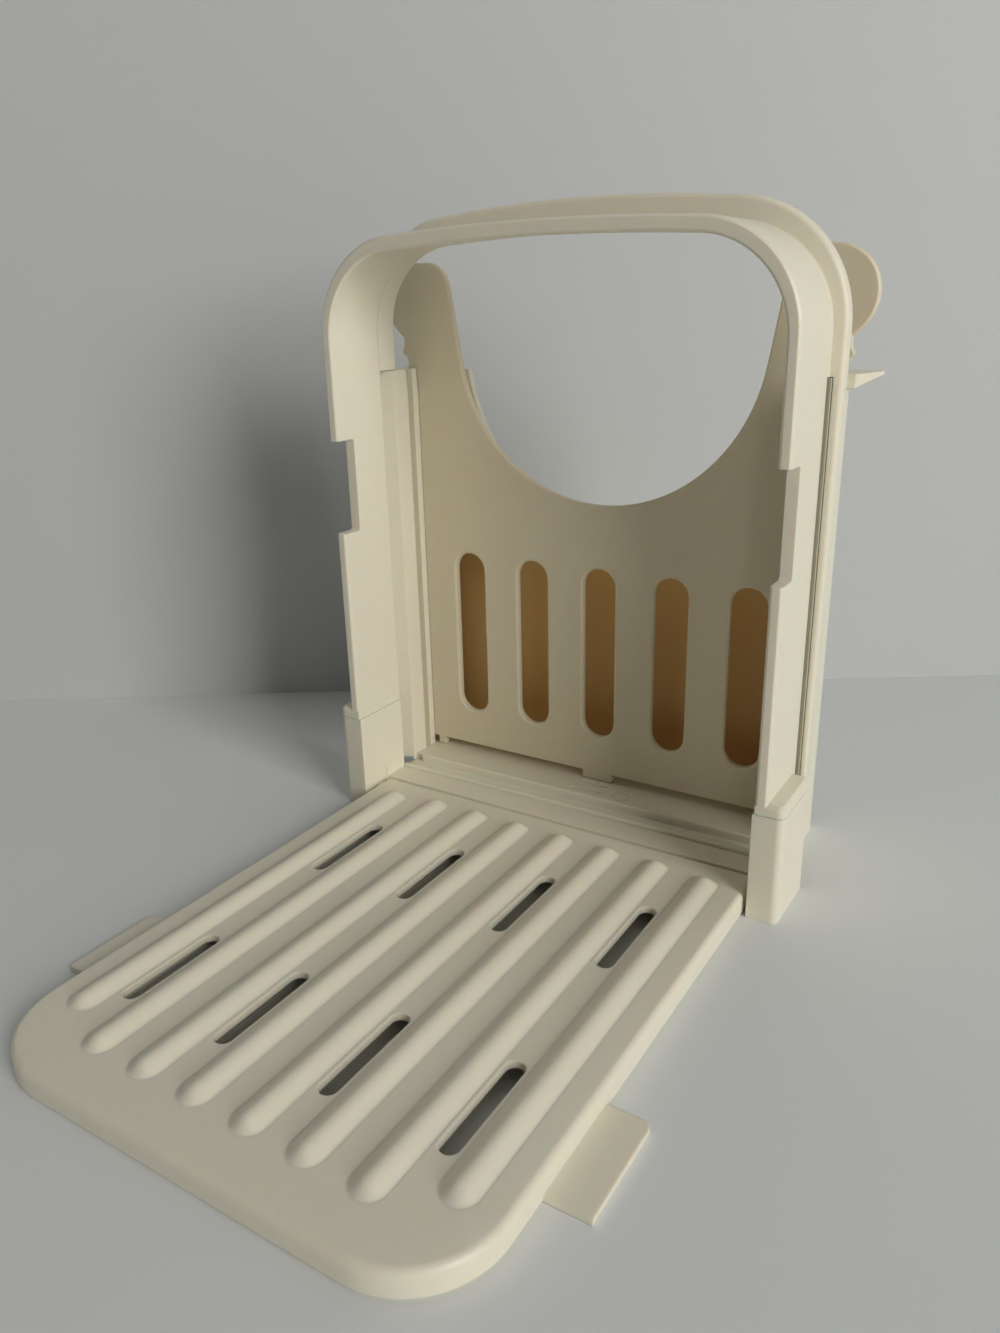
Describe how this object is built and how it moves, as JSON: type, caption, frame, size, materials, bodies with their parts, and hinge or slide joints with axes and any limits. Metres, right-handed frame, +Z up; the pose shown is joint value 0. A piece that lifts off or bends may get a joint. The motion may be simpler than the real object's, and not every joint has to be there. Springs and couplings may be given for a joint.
{
  "type": "bread slicer guide",
  "caption": "Foldable bread slicing guide: base frame with grooved side rails, a knife arch, a ribbed fold-up bread tray and a lift-out stopper plate.",
  "frame": {"origin": "middle of the whole outline at rest (tray down), on the table", "axes": "+X across to the right as seen from the tray, +Y from the tray to the rear wall, +Z up"},
  "size_m": [0.1716, 0.2266, 0.2078],
  "materials": {
    "ivory_frame": "satin moulded ivory ABS",
    "ivory_arch": "satin moulded ivory ABS",
    "ivory_tray": "satin moulded ivory ABS",
    "ivory_plate": "satin moulded ivory ABS"
  },
  "bodies": {
    "stand": {"base_frame": "ivory_frame", "arch": "ivory_arch"},
    "tray": {"bread_tray": "ivory_tray"},
    "stopper": {"stopper_plate": "ivory_plate"}
  },
  "joints": [
    {"name": "tray_fold", "type": "hinge", "parent": "stand", "child": "tray", "pos_m": [0, 0.0555, 0.00375], "axis": [-1, 0, 0], "range_deg": [0, 90]},
    {"name": "stopper_lift", "type": "slide", "parent": "stand", "child": "stopper", "axis": [0, 0, 1], "range_m": [0, 0.15]}
  ]
}
